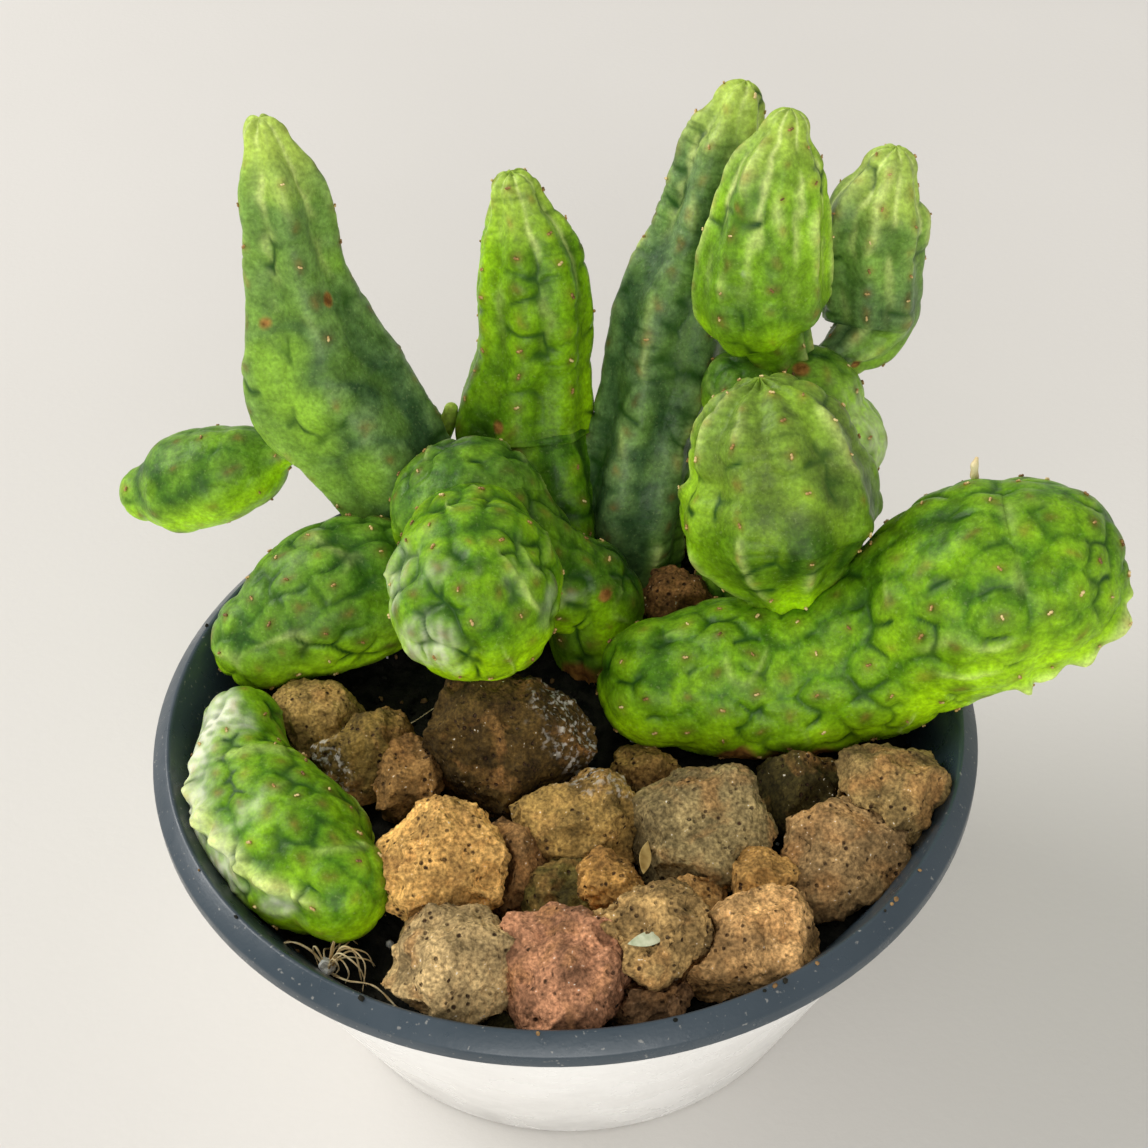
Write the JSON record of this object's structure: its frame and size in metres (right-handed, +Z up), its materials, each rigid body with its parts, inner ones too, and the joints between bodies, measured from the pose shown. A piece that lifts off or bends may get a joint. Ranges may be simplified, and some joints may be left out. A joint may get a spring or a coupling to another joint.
{
  "type": "potted euphorbia",
  "caption": "Succulent euphorbia with thick knobbly green stems and lava stones on the soil, in a slate-grey grow pot hung by its rim in a white tapered cover pot.",
  "frame": {"origin": "centre of the cover pot's flat underside, on the pots' axis", "axes": "+Z up along the pots' axis; -Y towards the front of the planting; +X to the right seen from the front"},
  "size_m": [0.1648, 0.1396, 0.129],
  "materials": {
    "cover_pot": "satin white",
    "grow_pot": "satin slate grey",
    "soil": "matt, crumbly",
    "stem": "satin plant skin",
    "bud": "satin plant skin",
    "lava": "matt, pitted",
    "root": "dry",
    "husk": "dry",
    "leaf": "dry"
  },
  "bodies": {
    "root": {"cover_pot": "cover_pot", "grow_pot": "grow_pot", "soil": "soil", "stem_front": "stem", "stem_right_low": "stem", "stem_round_head": "stem", "stem_centre": "stem", "stem_left_tall": "stem", "stem_left_offset": "stem", "stem_right_tall": "stem", "stem_right_parent": "stem", "stem_right_upright": "stem", "stem_right_outer": "stem", "stem_back_hump": "stem", "stem_left_low": "stem", "stem_fallen": "stem", "stem_bud": "bud", "lava_stone_01": "lava", "lava_stone_02": "lava", "lava_stone_03": "lava", "lava_stone_04": "lava", "lava_stone_05": "lava", "lava_stone_06": "lava", "lava_stone_07": "lava", "lava_stone_08": "lava", "lava_stone_09": "lava", "lava_stone_10": "lava", "lava_stone_11": "lava", "lava_stone_12": "lava", "lava_stone_13": "lava", "lava_stone_14": "lava", "lava_stone_15": "lava", "lava_stone_16": "lava", "lava_stone_17": "lava", "lava_stone_18": "lava", "lava_stone_19": "lava", "lava_stone_20": "lava", "lava_stone_21": "lava", "lava_stone_22": "lava", "lava_stone_23": "lava", "lava_stone_24": "lava", "lava_stone_25": "lava", "lava_stone_26": "lava", "lava_stone_27": "lava", "lava_stone_28": "lava", "surface_roots": "root", "seed_husk": "husk", "dry_leaf": "leaf"}
  },
  "joints": []
}
